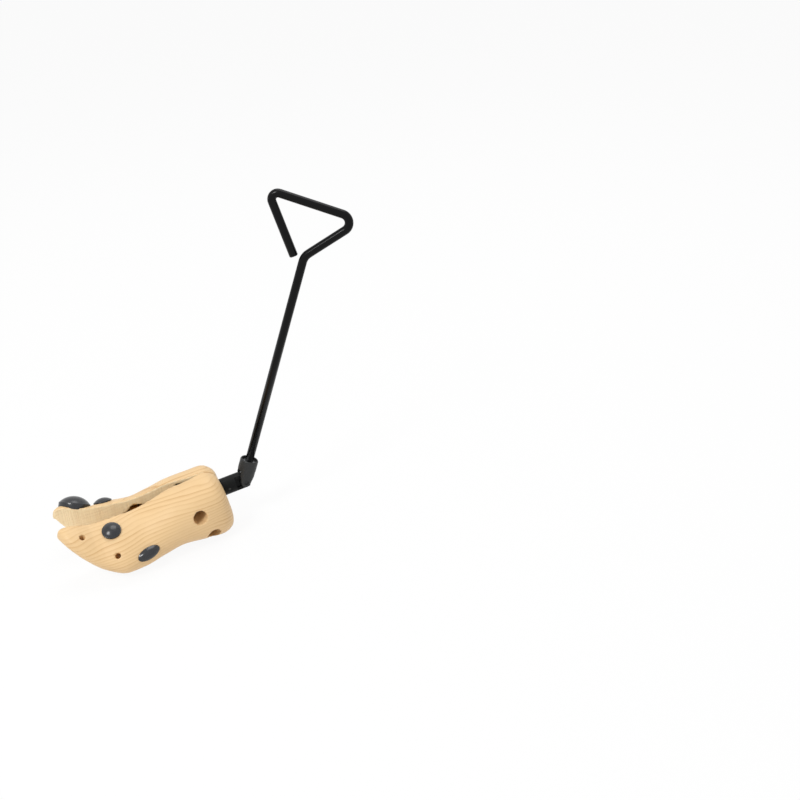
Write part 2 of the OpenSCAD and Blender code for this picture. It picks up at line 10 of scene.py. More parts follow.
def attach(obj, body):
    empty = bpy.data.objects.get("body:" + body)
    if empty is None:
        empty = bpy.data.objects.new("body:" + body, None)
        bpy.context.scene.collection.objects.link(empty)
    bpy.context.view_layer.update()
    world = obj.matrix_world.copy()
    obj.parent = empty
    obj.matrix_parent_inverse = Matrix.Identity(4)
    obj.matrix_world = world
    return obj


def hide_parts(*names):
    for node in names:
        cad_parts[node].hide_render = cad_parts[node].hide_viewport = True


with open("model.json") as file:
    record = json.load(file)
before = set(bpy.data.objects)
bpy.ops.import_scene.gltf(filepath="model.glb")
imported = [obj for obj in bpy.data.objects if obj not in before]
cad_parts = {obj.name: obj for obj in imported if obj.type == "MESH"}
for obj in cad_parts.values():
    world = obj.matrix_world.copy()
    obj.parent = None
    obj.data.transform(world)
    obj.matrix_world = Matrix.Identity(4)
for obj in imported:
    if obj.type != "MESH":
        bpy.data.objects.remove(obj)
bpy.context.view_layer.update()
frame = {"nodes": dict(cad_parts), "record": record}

mm = 0.001

# Studio. The camera stands about a metre off on the left side, looking down a little,
# and is turned so that the last climbs to the right. The table is white, and
# keeps a soft shadow under the wood.
eye = bpy.data.cameras.new("camera")
eye.lens = 45.44
eye.sensor_width = 36
camera = bpy.data.objects.new("camera", eye)
camera.location = (-0.13127, -0.88243, 0.59106)
camera.rotation_euler = [math.radians(a) for a in (62.2589, 2.9365, -23.234)]
bpy.context.scene.collection.objects.link(camera)
bpy.context.scene.camera = camera
bpy.context.scene.view_settings.view_transform = "Standard"


def new_material(name):
    """An empty node material: the material, its nodes, its links and its output."""
    m = bpy.data.materials.new(name)
    m.use_nodes = True
    m.node_tree.nodes.clear()
    out = m.node_tree.nodes.new("ShaderNodeOutputMaterial")
    return m, m.node_tree.nodes, m.node_tree.links, out


def seen_rays(nodes, links):
    """1 for rays that see the background: the camera's, and those by gloss or through glass."""
    rays = nodes.new("ShaderNodeLightPath")
    last = rays.outputs["Is Camera Ray"]
    for kind in ("Is Glossy Ray", "Is Transmission Ray"):
        either = nodes.new("ShaderNodeMath")
        either.operation = "MAXIMUM"
        links.new(last, either.inputs[0])
        links.new(rays.outputs[kind], either.inputs[1])
        last = either.outputs[0]
    return last


# white paper table: it shows plain white, with the shadow laid over it
paper, nodes, links, out = new_material("paper_table")
matt = nodes.new("ShaderNodeBsdfDiffuse")
matt.inputs["Color"].default_value = (0.9, 0.9, 0.9, 1)
glow = nodes.new("ShaderNodeEmission")
glow.inputs["Color"].default_value = (1, 1, 1, 1)
share = nodes.new("ShaderNodeMath")
share.operation = "MULTIPLY"
share.inputs[1].default_value = 0.92
mix = nodes.new("ShaderNodeMixShader")
links.new(seen_rays(nodes, links), share.inputs[0])
links.new(share.outputs[0], mix.inputs[0])
links.new(matt.outputs[0], mix.inputs[1])
links.new(glow.outputs[0], mix.inputs[2])
links.new(mix.outputs[0], out.inputs["Surface"])
bm = bmesh.new()
bmesh.ops.create_grid(bm, x_segments=2, y_segments=2, size=40.0)
bmesh.ops.translate(bm, verts=bm.verts, vec=(0, 0, -0.0002))
table_mesh = bpy.data.meshes.new("paper_table")
bm.to_mesh(table_mesh)
bm.free()
table_mesh.materials.append(paper)
table = bpy.data.objects.new("paper_table", table_mesh)
bpy.context.scene.collection.objects.link(table)

# white room: plain white to the camera and to gloss, soft fill for the object
room = bpy.data.worlds.new("white_room")
room.use_nodes = True
nodes, links = room.node_tree.nodes, room.node_tree.links
nodes.clear()
out = nodes.new("ShaderNodeOutputWorld")
fill = nodes.new("ShaderNodeBackground")
fill.inputs["Strength"].default_value = 0.64
white = nodes.new("ShaderNodeBackground")
white.inputs["Color"].default_value = (1, 1, 1, 1)
white.inputs["Strength"].default_value = 1.0
mix = nodes.new("ShaderNodeMixShader")
links.new(seen_rays(nodes, links), mix.inputs[0])
links.new(fill.outputs[0], mix.inputs[1])
links.new(white.outputs[0], mix.inputs[2])
links.new(mix.outputs[0], out.inputs["Surface"])
bpy.context.scene.world = room


def softbox(name, place, aim, size, watts):
    lamp = bpy.data.lights.new(name, "AREA")
    lamp.shape = "DISK"
    lamp.size = size
    lamp.energy = watts
    o = bpy.data.objects.new(name, lamp)
    o.location = place
    o.rotation_euler = (Vector(aim) - Vector(place)).to_track_quat("-Z", "Y").to_euler()
    bpy.context.scene.collection.objects.link(o)


softbox("key_softbox", (-1.1, -0.8, 1.6), (0, 0, 0.1), 0.6, 19)
softbox("top_softbox", (0.5, 0.5, 1.9), (0, 0, 0.1), 1.4, 14)

# Wooden last. Each half is carved and sanded from one block of pale ash and sawn apart
# lengthwise. The outside is smooth, the sawn faces keep the blade's upright
# marks, and the bores are left as drilled.


def group(name, inputs, outputs):
    """A shader node group with its named sockets: the group, its nodes, its links, in and out."""
    g = bpy.data.node_groups.new(name, "ShaderNodeTree")
    for n, kind, value in inputs:
        s = g.interface.new_socket(n, in_out="INPUT", socket_type=kind)
        if value is not None:
            s.default_value = value
    for n, kind in outputs:
        g.interface.new_socket(n, in_out="OUTPUT", socket_type=kind)
    return g, g.nodes, g.links, g.nodes.new("NodeGroupInput"), g.nodes.new("NodeGroupOutput")


def math_node(nodes, links, op, *values, clamp=False):
    n = nodes.new("ShaderNodeMath")
    n.operation = op
    n.use_clamp = clamp
    for i, v in enumerate(values):
        if isinstance(v, (int, float)):
            n.inputs[i].default_value = v
        else:
            links.new(v, n.inputs[i])
    return n.outputs[0]


def noise_node(nodes, links, vector, scale, detail=2.0, rough=0.5):
    n = nodes.new("ShaderNodeTexNoise")
    n.inputs["Scale"].default_value = scale
    n.inputs["Detail"].default_value = detail
    n.inputs["Roughness"].default_value = rough
    links.new(vector, n.inputs["Vector"])
    return n.outputs["Fac"]


def stretch_node(nodes, links, vector, scale, turn=(0, 0, 0)):
    n = nodes.new("ShaderNodeMapping")
    n.inputs["Scale"].default_value = scale
    n.inputs["Rotation"].default_value = turn
    links.new(vector, n.inputs["Vector"])
    return n.outputs["Vector"]


def ramp_node(nodes, links, fac, stops):
    n = nodes.new("ShaderNodeValToRGB")
    while len(n.color_ramp.elements) < len(stops):
        n.color_ramp.elements.new(0.5)
    for e, (p, c) in zip(n.color_ramp.elements, stops):
        e.position = p
        e.color = (*c, 1) if not isinstance(c, (int, float)) else (c, c, c, 1)
    links.new(fac, n.inputs["Fac"])
    return n.outputs["Color"]


# growth rings: nearly level layers that climb a little towards the heel, wider
# in places, with pores strung along the late wood and faint fibres everywhere
rings, nodes, links, i_, o_ = group("ash_grain",
    [("Vector", "NodeSocketVector", None), ("Ring Width", "NodeSocketFloat", 0.003),
     ("Fibre", "NodeSocketFloat", 0.5)],
    [("Tone", "NodeSocketFloat"), ("Height", "NodeSocketFloat")])
p = stretch_node(nodes, links, i_.outputs["Vector"], (1, 1, 1), (math.radians(14), math.radians(7), 0))
slow = noise_node(nodes, links, stretch_node(nodes, links, p, (9, 22, 22)), 1.0, 2.0)
fine = noise_node(nodes, links, stretch_node(nodes, links, p, (30, 160, 160)), 1.0, 2.0)
split = nodes.new("ShaderNodeSeparateXYZ")
links.new(p, split.inputs[0])
dy = math_node(nodes, links, "ADD", split.outputs[1], 0.035)
dz = math_node(nodes, links, "ADD", split.outputs[2], 0.11)
r = math_node(nodes, links, "SQRT", math_node(nodes, links, "ADD",
    math_node(nodes, links, "MULTIPLY", dy, dy), math_node(nodes, links, "MULTIPLY", dz, dz)))
r = math_node(nodes, links, "ADD", r, math_node(nodes, links, "MULTIPLY", slow, 0.0165))
r = math_node(nodes, links, "ADD", r, math_node(nodes, links, "MULTIPLY", fine, 0.0011))
year = math_node(nodes, links, "DIVIDE", r, i_.outputs["Ring Width"])
part_ = math_node(nodes, links, "FRACT", year)
late = ramp_node(nodes, links, part_, [(0.0, 0.10), (0.35, 0.0), (0.74, 0.42), (0.90, 1.0), (1.0, 0.12)])
whole = math_node(nodes, links, "FLOOR", year)
pick = nodes.new("ShaderNodeTexWhiteNoise")
pick.noise_dimensions = "1D"
links.new(whole, pick.inputs["W"])
late = math_node(nodes, links, "MULTIPLY", late,
    math_node(nodes, links, "ADD", math_node(nodes, links, "MULTIPLY", pick.outputs["Value"], 0.75), 0.3))
quiet = noise_node(nodes, links, stretch_node(nodes, links, p, (16, 34, 34)), 1.0, 1.0)
late = math_node(nodes, links, "MULTIPLY", late, ramp_node(nodes, links, quiet, [(0.38, 0.35), (0.6, 1.0)]))
fibre = noise_node(nodes, links, stretch_node(nodes, links, p, (55, 1500, 1500)), 1.0, 3.0, 0.6)
fibre = math_node(nodes, links, "SUBTRACT", fibre, 0.5)
pore = noise_node(nodes, links, stretch_node(nodes, links, p, (160, 2600, 2600)), 1.0, 1.0)
pore = math_node(nodes, links, "MULTIPLY", math_node(nodes, links, "SUBTRACT", pore, 0.60, clamp=True), 5.0,
                 clamp=True)
pore = math_node(nodes, links, "MULTIPLY", pore, math_node(nodes, links, "ADD", late, 0.15))
tone = math_node(nodes, links, "ADD", late, math_node(nodes, links, "MULTIPLY", fibre, i_.outputs["Fibre"]))
tone = math_node(nodes, links, "ADD", tone, math_node(nodes, links, "MULTIPLY", pore, 0.5), clamp=True)
links.new(tone, o_.inputs["Tone"])
links.new(math_node(nodes, links, "SUBTRACT", math_node(nodes, links, "MULTIPLY", fibre, 0.6), pore),
          o_.inputs["Height"])


def wood_material(name, early, late, rough, sawn):
    m, nodes, links, out = new_material(name)
    shader = nodes.new("ShaderNodeBsdfPrincipled")
    where = nodes.new("ShaderNodeTexCoord")
    grain = nodes.new("ShaderNodeGroup")
    grain.node_tree = rings
    grain.inputs["Ring Width"].default_value = 0.0031
    grain.inputs["Fibre"].default_value = 0.55 if sawn else 0.30
    links.new(where.outputs["Object"], grain.inputs["Vector"])
    tone = grain.outputs["Tone"]
    height = grain.outputs["Height"]
    if sawn:
        # upright tooth marks of the band saw, in bunches, with torn fibres between
        marks = noise_node(nodes, links, stretch_node(nodes, links, where.outputs["Object"], (900, 900, 14)),
                           1.0, 2.0, 0.7)
        fuzz = noise_node(nodes, links, stretch_node(nodes, links, where.outputs["Object"],
                                                     (700, 1500, 1500)), 1.0, 2.0, 0.7)
        broad = noise_node(nodes, links, stretch_node(nodes, links, where.outputs["Object"], (120, 120, 9)),
                           1.0, 1.0)
        blade = math_node(nodes, links, "ADD", math_node(nodes, links, "MULTIPLY", marks, 0.8),
                          math_node(nodes, links, "MULTIPLY", fuzz, 0.5))
        blade = math_node(nodes, links, "ADD", blade, math_node(nodes, links, "MULTIPLY", broad, 0.6))
        tone = math_node(nodes, links, "ADD", math_node(nodes, links, "MULTIPLY", tone, 0.6),
                         math_node(nodes, links, "SUBTRACT", blade, 0.88), clamp=True)
        height = math_node(nodes, links, "ADD", height, math_node(nodes, links, "MULTIPLY", blade, 2.5))
    colour = ramp_node(nodes, links, tone, [(0.0, early), (0.5, [(a + b) / 2 for a, b in zip(early, late)]),
                                            (1.0, late)])
    links.new(colour, shader.inputs["Base Color"])
    patch = noise_node(nodes, links, where.outputs["Object"], 60, 2.0)
    links.new(math_node(nodes, links, "ADD", math_node(nodes, links, "MULTIPLY", patch, 0.14), rough - 0.07),
              shader.inputs["Roughness"])
    bump = nodes.new("ShaderNodeBump")
    bump.inputs["Strength"].default_value = 0.55 if sawn else 0.22
    bump.inputs["Distance"].default_value = 0.0005 if sawn else 0.0002
    links.new(height, bump.inputs["Height"])
    links.new(bump.outputs["Normal"], shader.inputs["Normal"])
    shader.inputs["Specular IOR Level"].default_value = 0.32
    links.new(shader.outputs[0], out.inputs["Surface"])
    return m


sanded = wood_material("sanded_ash", (0.81, 0.565, 0.30), (0.61, 0.365, 0.155), 0.46, False)
# the sawn faces' wood tones are set lighter than the sanded ash: painted light that lifts the shade they lie
# in inside the narrow slit; the grain and saw marks on them are the wood's own
sawn = wood_material("sawn_ash_lightened", (0.98, 0.80, 0.52), (0.76, 0.53, 0.295), 0.75, True)


def merged_copy(node):
    """A bmesh of a CAD node with its loose triangles joined."""
    bm = bmesh.new()
    bm.from_mesh(frame["nodes"][node].data)
    bmesh.ops.remove_doubles(bm, verts=bm.verts, dist=1e-6)
    return bm


def add_piece(name, bm, body, *stands_for, material=None, smooth=True):
    """Makes the bmesh an object that rides on a body and stands for CAD nodes."""
    me = bpy.data.meshes.new(name)
    bm.to_mesh(me)
    bm.free()
    if material:
        me.materials.append(material)
    me.polygons.foreach_set("use_smooth", [smooth] * len(me.polygons))
    o = bpy.data.objects.new(name, me)
    bpy.context.scene.collection.objects.link(o)
    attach(o, body)
    if stands_for:
        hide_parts(*stands_for)
    return o


half_angle = math.radians(7)
kerf = 1.0 * mm
grit = 0.00085              # the size at which the sanding rounds the edges


def wooden_half(node, body, side):
    """Sanded copy of a half: side is +1 for the right half (+Y), -1 for the left."""
    bm = merged_copy(node)
    me = bpy.data.meshes.new(node + "_block")
    bm.to_mesh(me)
    bm.free()
    block = bpy.data.objects.new(node + "_block", me)
    bpy.context.scene.collection.objects.link(block)
    sand = block.modifiers.new("sanding", "REMESH")
    sand.mode = "VOXEL"
    sand.voxel_size = grit
    sand.adaptivity = 0.0
    bpy.context.view_layer.update()
    ready = bpy.data.meshes.new_from_object(block.evaluated_get(bpy.context.evaluated_depsgraph_get()))
    bpy.data.objects.remove(block)
    bm = bmesh.new()
    bm.from_mesh(ready)
    for _ in range(3):
        bmesh.ops.smooth_vert(bm, verts=bm.verts, factor=0.5, use_axis_x=True, use_axis_y=True,
                              use_axis_z=True)
    o = add_piece(node + "_wood", bm, body, node, material=sanded)
    o.data.materials.append(sawn)
    turn = Matrix.Rotation(half_angle * side, 3, "Z")
    for f in o.data.polygons:
        c, n = turn @ f.center, turn @ f.normal
        if abs(n.y) > 0.8 and abs(c.y * side - kerf / 2) < 0.0007:
            f.material_index = 1
    return o


left_wood = wooden_half("left_half", "left_last", -1)
right_wood = wooden_half("right_half", "right_last", 1)

# Heel hinge. A turned steel drum with a pin above and below carries the spindle. Each half
# hangs on the pins by a steel leaf, held from outside by two socket-head bolts
# deep in the 14 mm counterbores.

# small scuffs and an uneven sheen, for every metal finish
scuffs, nodes, links, i_, o_ = group("metal_scuffs",
    [("Vector", "NodeSocketVector", None), ("Scale", "NodeSocketFloat", 1.0),
     ("Amount", "NodeSocketFloat", 0.5)],
    [("Mask", "NodeSocketFloat"), ("Height", "NodeSocketFloat")])
scaled = nodes.new("ShaderNodeVectorMath")
scaled.operation = "SCALE"
links.new(i_.outputs["Vector"], scaled.inputs[0])
links.new(i_.outputs["Scale"], scaled.inputs["Scale"])
cloud = noise_node(nodes, links, scaled.outputs[0], 240, 3.0, 0.6)
hair = noise_node(nodes, links, stretch_node(nodes, links, scaled.outputs[0], (90, 900, 2600),
                                             (0.5, 0.9, 0.3)), 1.0, 2.0, 0.7)
hair = math_node(nodes, links, "MULTIPLY", math_node(nodes, links, "SUBTRACT", hair, 0.62, clamp=True), 4.0,
                 clamp=True)
both = math_node(nodes, links, "ADD", math_node(nodes, links, "MULTIPLY", cloud, 0.6), hair)
links.new(math_node(nodes, links, "MULTIPLY", both, i_.outputs["Amount"], clamp=True), o_.inputs["Mask"])
links.new(math_node(nodes, links, "SUBTRACT", cloud, hair), o_.inputs["Height"])


def metal_material(name, dark, light, rough, spread, metallic, bump_mm, scale=1.0, amount=0.8, specular=0.5):
    m, nodes, links, out = new_material(name)
    shader = nodes.new("ShaderNodeBsdfPrincipled")
    where = nodes.new("ShaderNodeTexCoord")
    worn = nodes.new("ShaderNodeGroup")
    worn.node_tree = scuffs
    worn.inputs["Scale"].default_value = scale
    worn.inputs["Amount"].default_value = amount
    links.new(where.outputs["Object"], worn.inputs["Vector"])
    links.new(ramp_node(nodes, links, worn.outputs["Mask"], [(0.0, dark), (1.0, light)]),
              shader.inputs["Base Color"])
    links.new(math_node(nodes, links, "ADD", math_node(nodes, links, "MULTIPLY", worn.outputs["Mask"],
                                                       spread), rough), shader.inputs["Roughness"])
    bump = nodes.new("ShaderNodeBump")
    bump.inputs["Strength"].default_value = 0.4
    bump.inputs["Distance"].default_value = bump_mm * mm
    links.new(worn.outputs["Height"], bump.inputs["Height"])
    links.new(bump.outputs["Normal"], shader.inputs["Normal"])
    shader.inputs["Metallic"].default_value = metallic
    shader.inputs["Specular IOR Level"].default_value = specular
    links.new(shader.outputs[0], out.inputs["Surface"])
    return m


zinc = metal_material("zinc_plate", (0.42, 0.43, 0.44), (0.60, 0.61, 0.62), 0.30, 0.18, 1.0, 0.05)
oxide = metal_material("black_oxide", (0.030, 0.030, 0.033), (0.085, 0.085, 0.09), 0.36, 0.22, 0.55, 0.05)


def break_edges(obj, width, segments, angle):
    """A small bevel, in mm, on every edge sharper than the angle in degrees."""
    broke = obj.modifiers.new("broken_edges", "BEVEL")
    broke.width = width * mm
    broke.segments = segments
    broke.limit_method = "ANGLE"
    broke.angle_limit = math.radians(angle)
    broke.harden_normals = False


def tooled(node, body, material, bevel=0.3, name=None):
    """Merged copy of a CAD node with its flats joined and its edges broken."""
    bm = merged_copy(node)
    bmesh.ops.dissolve_limit(bm, angle_limit=math.radians(0.4), use_dissolve_boundaries=False, verts=bm.verts,
                             edges=bm.edges)
    o = add_piece(name or node + "_tooled", bm, body, node, material=material)
    break_edges(o, bevel, 2, 32)
    even = o.modifiers.new("even_shading", "WEIGHTED_NORMAL")
    even.keep_sharp = False
    return o


tooled("bearing_drum", "heel_bearing", zinc, 0.4)
for clip in ("upper_clip", "lower_clip"):
    tooled(clip, "heel_bearing", oxide, 0.15)
for side in ("left", "right"):
    tooled(side + "_leaf", side + "_last", zinc, 0.3)
    for place in ("upper", "lower"):
        tooled(f"{side}_bolt_{place}", side + "_last", oxide, 0.3)

# Cam plates. Folded steel plates in the sawn faces. The nut's pins run in their slanting
# slots, and two countersunk screws hold each to the wood.
for side in ("left", "right"):
    tooled(side + "_cam", side + "_last", zinc, 0.25)
    for place in ("front", "rear"):
        tooled(f"{side}_cam_screw_{place}", side + "_last", oxide, 0.12)

# Spindle. Turned steel with a rolled left-hand thread where the nut runs, a collar and
# grub screw behind the drum, and an end stop that keeps the nut on.
joint_at = Vector((43, 0, 46.1633)) * mm
tilt = math.radians(8)
on_spindle = Matrix.Translation(joint_at) @ Matrix.Rotation(-tilt, 4, "Y")   # +X towards the handle
spindle_from, thread_to, spindle_to = -123.9 * mm, -82.0 * mm, -13.2 * mm
core_r = 3.4 * mm
shank = 1.176               # the plain shank over the core of the thread
chamfered = 0.72            # the turned-down tip over the core
bm = bmesh.new()
ring = bmesh.ops.create_circle(bm, cap_ends=False, radius=core_r, segments=40)["verts"]
bmesh.ops.rotate(bm, verts=ring, cent=(0, 0, 0), matrix=Matrix.Rotation(math.pi / 2, 3, "Y"))
bmesh.ops.translate(bm, verts=ring, vec=(spindle_from, 0, 0))
edges = [e for e in bm.edges]
stations = [(spindle_from, chamfered), (spindle_from + 0.9 * mm, 1.0), (thread_to, 1.0),
            (thread_to + 0.8 * mm, shank), (spindle_to - 0.6 * mm, shank), (spindle_to, 1.0)]
for v in ring:
    v.co.y *= stations[0][1]
    v.co.z *= stations[0][1]
bm.faces.new(ring)
last = stations[0]
for x, k in stations[1:]:
    new = bmesh.ops.extrude_edge_only(bm, edges=edges)["geom"]
    ring = [g for g in new if isinstance(g, bmesh.types.BMVert)]
    edges = [g for g in new if isinstance(g, bmesh.types.BMEdge)]
    for v in ring:
        v.co.x = x
        v.co.y *= k / last[1]
        v.co.z *= k / last[1]
    last = (x, k)
bmesh.ops.contextual_create(bm, geom=edges)
lead = 2.5 * mm
turns = 16
steps_a_turn = 24
start = spindle_from + 1.2 * mm
flank = ((-0.75, 3.30), (-0.28, 3.93), (0.28, 3.93), (0.75, 3.30))
ridge = [bm.verts.new((start + dx * mm, 0, rz * mm)) for dx, rz in flank]
line = [bm.edges.new((a, b)) for a, b in zip(ridge, ridge[1:])]
bmesh.ops.spin(bm, geom=ridge + line, cent=(0, 0, 0), axis=(1, 0, 0), dvec=(lead / steps_a_turn, 0, 0),
               angle=-2 * math.pi * turns, steps=steps_a_turn * turns, use_merge=False,
               use_duplicate=False)
bmesh.ops.recalc_face_normals(bm, faces=bm.faces)
bmesh.ops.transform(bm, matrix=on_spindle, verts=bm.verts)
spindle = add_piece("spindle_threaded", bm, "screw", "spindle", material=zinc)
break_edges(spindle, 0.12, 1, 40)
tooled("spindle_collar", "screw", oxide, 0.4)
tooled("collar_screw", "screw", zinc, 0.1)
tooled("end_stop", "screw", oxide, 0.3)
sheen = metal_material("turned_brass", (0.55, 0.38, 0.15), (0.75, 0.56, 0.26), 0.26, 0.2, 1.0, 0.04)
tooled("thrust_washer", "screw", sheen, 0.2)

# Spreader nut. A brass crossbar tapped for the spindle, with two steel pins pressed through
# its ends that reach down into the cam slots.
tooled("spreader_nut", "nut", sheen, 0.6)
for side in ("left", "right"):
    tooled("nut_pin_" + side, "nut", zinc, 0.3)

# Universal joint. A cast black fork on the spindle, a square cross block with riveted pins, and
# the blackened steel yoke that the handle is set in.
enamel = metal_material("black_enamel", (0.002, 0.002, 0.0022), (0.005, 0.005, 0.006), 0.17, 0.12, 0.0, 0.03,
                        amount=0.6, specular=0.14)
cast = metal_material("cast_black", (0.003, 0.0033, 0.0033), (0.011, 0.012, 0.012), 0.36, 0.30, 0.0, 0.12,
                      amount=0.9, specular=0.11)
satin = metal_material("satin_black_steel", (0.026, 0.027, 0.027), (0.060, 0.061, 0.062), 0.40, 0.20,
                       0.4, 0.05, amount=0.8, specular=0.3)
tooled("spindle_fork", "screw", cast, 0.5)
tooled("fork_roll_pin", "screw", satin, 0.3)
tooled("cross_block", "cross", satin, 0.4)
tooled("yoke_pin", "cross", satin, 0.3)
for pin in ("fork_pin_top", "fork_pin_bottom"):
    tooled(pin, "cross", zinc, 0.3)
yoke = tooled("handle_yoke", "handle", satin, 0.35)
# the floor of the socket's cup was faced off bright after the blackening
lean = math.radians(21.3)
cup_floor = 19.6 * mm
rod_way = Vector((math.sin(lean), 0, math.cos(lean)))
yoke.data.materials.append(zinc)
for f in yoke.data.polygons:
    level = (f.center - joint_at).dot(rod_way)
    if f.normal.dot(rod_way) > 0.99 and abs(level - cup_floor) < 0.1 * mm:
        f.material_index = 1
tooled("rod_roll_pin", "handle", satin, 0.3)

# Handle. One length of round bar, bent cold three times into an open triangular
# grip and dipped in gloss black enamel. Its free end stops short of the bar.
rod_r = 4.2 * mm
grip_turn = math.radians(27)
corners = [Vector(c) * mm for c in ((0, 0, 12.8), (0, 0, 240), (42.6, 0, 289), (-49.4, 0, 291),
                                    (-9.3, 0, 237.3))]
bend_radii = [14.0 * mm, 8.5 * mm, 6.0 * mm]
end_chamfer = 0.8 * mm
bm = bmesh.new()
ring = bmesh.ops.create_circle(bm, cap_ends=False, radius=rod_r, segments=32)["verts"]
bmesh.ops.translate(bm, verts=ring, vec=corners[0])
bm.faces.new(ring)
edges = [e for e in bm.edges]


def run_on(edges, step):
    new = bmesh.ops.extrude_edge_only(bm, edges=edges)["geom"]
    bmesh.ops.translate(bm, verts=[g for g in new if isinstance(g, bmesh.types.BMVert)], vec=step)
    return [g for g in new if isinstance(g, bmesh.types.BMEdge)]


used = 0.0
for a, b, c, bend_r in zip(corners, corners[1:], corners[2:] + [None], bend_radii + [0]):
    way = (b - a).normalized()
    if c is None:
        edges = run_on(edges, way * ((b - a).length - used - end_chamfer))
        edges = run_on(edges, way * end_chamfer)
        rim = list({v for e in edges for v in e.verts})
        bmesh.ops.scale(bm, verts=rim, vec=(0.8, 0.8, 0.8), space=Matrix.Translation(-b))
        bmesh.ops.contextual_create(bm, geom=edges)
        break
    nxt = (c - b).normalized()
    angle = way.angle(nxt)
    trim = bend_r * math.tan(angle / 2)
    edges = run_on(edges, way * ((b - a).length - used - trim))
    axis = way.cross(nxt).normalized()
    centre = b - way * trim + axis.cross(way) * bend_r
    spun = bmesh.ops.spin(bm, geom=edges + list({v for e in edges for v in e.verts}), cent=centre,
                          axis=axis, angle=angle, steps=max(6, round(math.degrees(angle) / 7)),
                          use_merge=False, use_duplicate=False)
    edges = [g for g in spun["geom_last"] if isinstance(g, bmesh.types.BMEdge)]
    used = trim
on_handle = Matrix.Translation(joint_at) @ Matrix.Rotation(lean, 4, "Y") @ Matrix.Rotation(-grip_turn, 4, "Z")
bmesh.ops.transform(bm, matrix=on_handle, verts=bm.verts)
bmesh.ops.recalc_face_normals(bm, faces=bm.faces)
rod = add_piece("bent_handle_rod", bm, "handle", "handle_rod", material=enamel)

# Spot plugs. Turned hard plastic domes with a plain rim and a push-in peg. The underside of
# each is hollowed to the last, so that the rim reaches down round the wood.
gloss, nodes, links, out = new_material("black_plug_plastic")
shader = nodes.new("ShaderNodeBsdfPrincipled")
where = nodes.new("ShaderNodeTexCoord")
dust = noise_node(nodes, links, where.outputs["Object"], 900, 3.0, 0.7)
smear = noise_node(nodes, links, where.outputs["Object"], 110, 2.0, 0.5)
links.new(ramp_node(nodes, links, dust, [(0.35, (0.010, 0.011, 0.014)), (0.75, (0.020, 0.022, 0.027))]),
          shader.inputs["Base Color"])
links.new(math_node(nodes, links, "ADD", math_node(nodes, links, "MULTIPLY", smear, 0.22), 0.14),
          shader.inputs["Roughness"])
bump = nodes.new("ShaderNodeBump")
bump.inputs["Strength"].default_value = 0.25
bump.inputs["Distance"].default_value = 0.00006
links.new(smear, bump.inputs["Height"])
links.new(bump.outputs["Normal"], shader.inputs["Normal"])
shader.inputs["IOR"].default_value = 1.52
links.new(shader.outputs[0], out.inputs["Surface"])


peg_r = 2.75 * mm
deepest = 4.0 * mm          # how far an underside reaches down round the last
rim_share = 0.22            # the plain rim's part of a plug's height
clear = 0.06 * mm           # between an underside and the wood


def seat_on_wood(bm, wood, axis, spin_to, seat, cx, cy):
    """Draws the underside outside the peg down to the wood."""
    skin = bmesh.new()
    skin.from_mesh(wood.data)
    last_skin = BVHTree.FromBMesh(skin)
    skin.free()
    for v in bm.verts:
        w = spin_to.inverted() @ v.co
        if abs(w.z - seat) < 1e-5 and math.hypot(w.x - cx, w.y - cy) > peg_r + 0.2 * mm:
            hit = last_skin.ray_cast(v.co + axis * 2 * mm, -axis, 30 * mm)
            drop = deepest
            if hit[0] is not None:
                drop = min((v.co - hit[0]).dot(axis) - clear, deepest)
            v.co -= axis * drop


def plug_place(node, joint):
    """The pull axis, the turn that lays Z on it, and the CAD plug's points and middle along it."""
    pull = next(j for j in frame["record"]["behaviour"]["joints"] if j["name"] == joint)
    axis = Vector(pull["axis"]).normalized()
    spin_to = axis.to_track_quat("Z", "Y").to_matrix().to_4x4()
    flat = [spin_to.inverted() @ v.co for v in frame["nodes"][node].data.vertices]
    cx = (min(v.x for v in flat) + max(v.x for v in flat)) / 2
    cy = (min(v.y for v in flat) + max(v.y for v in flat)) / 2
    return axis, spin_to, flat, cx, cy


def spot_plug(node, body, wood, joint):
    """Turns a plug about its hole's axis: the joint gives the axis, the CAD node its place and size."""
    axis, spin_to, flat, cx, cy = plug_place(node, joint)
    low, high = min(v.z for v in flat), max(v.z for v in flat)
    big = (max(v.x for v in flat) - min(v.x for v in flat)) / 2
    seat = min(v.z for v in flat if math.hypot(v.x - cx, v.y - cy) > big - 1e-4)
    rise = high - seat
    rim = rise * rim_share
    cap, r = rise - rim, big - 0.5 * mm
    ball = (r * r + cap * cap) / (2 * cap)
    profile = [(0, low), (peg_r - 0.5 * mm, low), (peg_r, low + 0.5 * mm), (peg_r, seat),
               (big * 0.45, seat), (big * 0.7, seat), (big * 0.9, seat), (big, seat),
               (big, seat + rim * 0.75), (big - 0.12 * mm, seat + rim), (r, seat + rim)]
    for i in range(1, 13):
        a = math.asin(r / ball) * (1 - i / 12)
        profile.append((ball * math.sin(a), seat + rim + cap - ball + ball * math.cos(a)))
    bm = bmesh.new()
    line = [bm.verts.new((x, 0, z)) for x, z in profile]
    edge = [bm.edges.new((a, b)) for a, b in zip(line, line[1:])]
    bmesh.ops.spin(bm, geom=line + edge, cent=(0, 0, 0), axis=(0, 0, 1), angle=2 * math.pi, steps=72,
                   use_merge=True, use_duplicate=False)
    bmesh.ops.remove_doubles(bm, verts=bm.verts, dist=1e-6)
    bmesh.ops.recalc_face_normals(bm, faces=bm.faces)
    bmesh.ops.translate(bm, verts=bm.verts, vec=(cx, cy, 0))
    bmesh.ops.transform(bm, matrix=spin_to, verts=bm.verts)
    seat_on_wood(bm, wood, axis, spin_to, seat, cx, cy)
    o = add_piece(node + "_turned", bm, body, node, material=gloss)
    break_edges(o, 0.12, 2, 35)


spot_plug("left_top_plug", "plug_left_top", left_wood, "plug_left_top_pull")
spot_plug("right_top_plug", "plug_right_top", right_wood, "plug_right_top_pull")
spot_plug("bunion_plug", "plug_bunion", right_wood, "plug_bunion_pull")


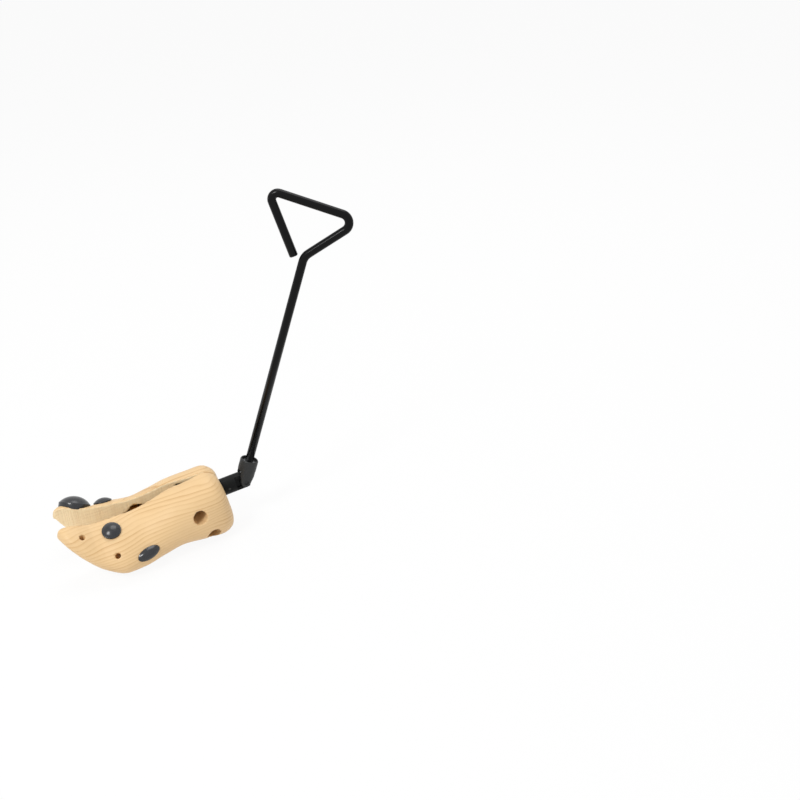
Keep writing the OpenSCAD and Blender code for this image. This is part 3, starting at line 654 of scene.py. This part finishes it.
def oval_plug(node, body, wood, joint, length, width):
    """An oval dome on a round peg, turned as the CAD node is."""
    axis, spin_to, flat, cx, cy = plug_place(node, joint)
    low, high = min(v.z for v in flat), max(v.z for v in flat)
    tip = max(flat, key=lambda v: math.hypot(v.x - cx, v.y - cy))
    turn = math.atan2(tip.y - cy, tip.x - cx)
    seat = min(v.z for v in flat if math.hypot(v.x - cx, v.y - cy) > length / 2 - 0.1 * mm)
    rise = high - seat
    r = width / 2
    cap = rise * (1 - rim_share)
    ball = (r * r + cap * cap) / (2 * cap)
    rings = 12
    # share of the outline and height of each ring, from the rim up and over
    steps = [(1, 0), (1, rise - cap - 0.1 * mm), (0.975, rise - cap)]
    for i in range(1, rings):
        a = math.asin(r / ball) * (1 - i / rings)
        steps.append((0.96 * ball * math.sin(a) / r, rise - ball + ball * math.cos(a)))
    bm = bmesh.new()
    outline = bmesh.ops.create_circle(bm, cap_ends=False, radius=r, segments=64)["verts"]
    bmesh.ops.scale(bm, verts=outline, vec=(length / width, 1, 1))
    bmesh.ops.translate(bm, verts=outline, vec=(0, 0, seat))
    first = list(bm.edges)
    edges = first
    for (k, h), (k2, h2) in zip(steps, steps[1:]):
        new = bmesh.ops.extrude_edge_only(bm, edges=edges)["geom"]
        edges = [g for g in new if isinstance(g, bmesh.types.BMEdge)]
        for v in {v for e in edges for v in e.verts}:
            v.co = Vector((v.co.x * k2 / k, v.co.y * k2 / k, v.co.z + h2 - h))
    bmesh.ops.contextual_create(bm, geom=edges)
    # underside: two rings inwards, then the peg
    edges = first
    for _ in range(2):
        new = bmesh.ops.extrude_edge_only(bm, edges=edges)["geom"]
        edges = [g for g in new if isinstance(g, bmesh.types.BMEdge)]
        for v in {v for e in edges for v in e.verts}:
            v.co.x *= 0.72
            v.co.y *= 0.72
    peg = bmesh.ops.create_circle(bm, cap_ends=False, radius=peg_r, segments=64)["verts"]
    bmesh.ops.translate(bm, verts=peg, vec=(0, 0, seat))
    peg_top = list({e for v in peg for e in v.link_edges})
    bmesh.ops.bridge_loops(bm, edges=edges + peg_top)
    new = bmesh.ops.extrude_edge_only(bm, edges=peg_top)["geom"]
    peg_low = [g for g in new if isinstance(g, bmesh.types.BMEdge)]
    for v in {v for e in peg_low for v in e.verts}:
        v.co.z = low
    bmesh.ops.contextual_create(bm, geom=peg_low)
    bmesh.ops.rotate(bm, verts=bm.verts, cent=(0, 0, 0), matrix=Matrix.Rotation(turn, 3, "Z"))
    bmesh.ops.translate(bm, verts=bm.verts, vec=(cx, cy, 0))
    bmesh.ops.transform(bm, matrix=spin_to, verts=bm.verts)
    bmesh.ops.recalc_face_normals(bm, faces=bm.faces)
    seat_on_wood(bm, wood, axis, spin_to, seat, cx, cy)
    o = add_piece(node + "_moulded", bm, body, node, material=gloss)
    break_edges(o, 0.12, 2, 35)


oval_plug("left_side_plug", "plug_left_side", left_wood, "plug_left_side_pull", 23.0 * mm, 11.5 * mm)
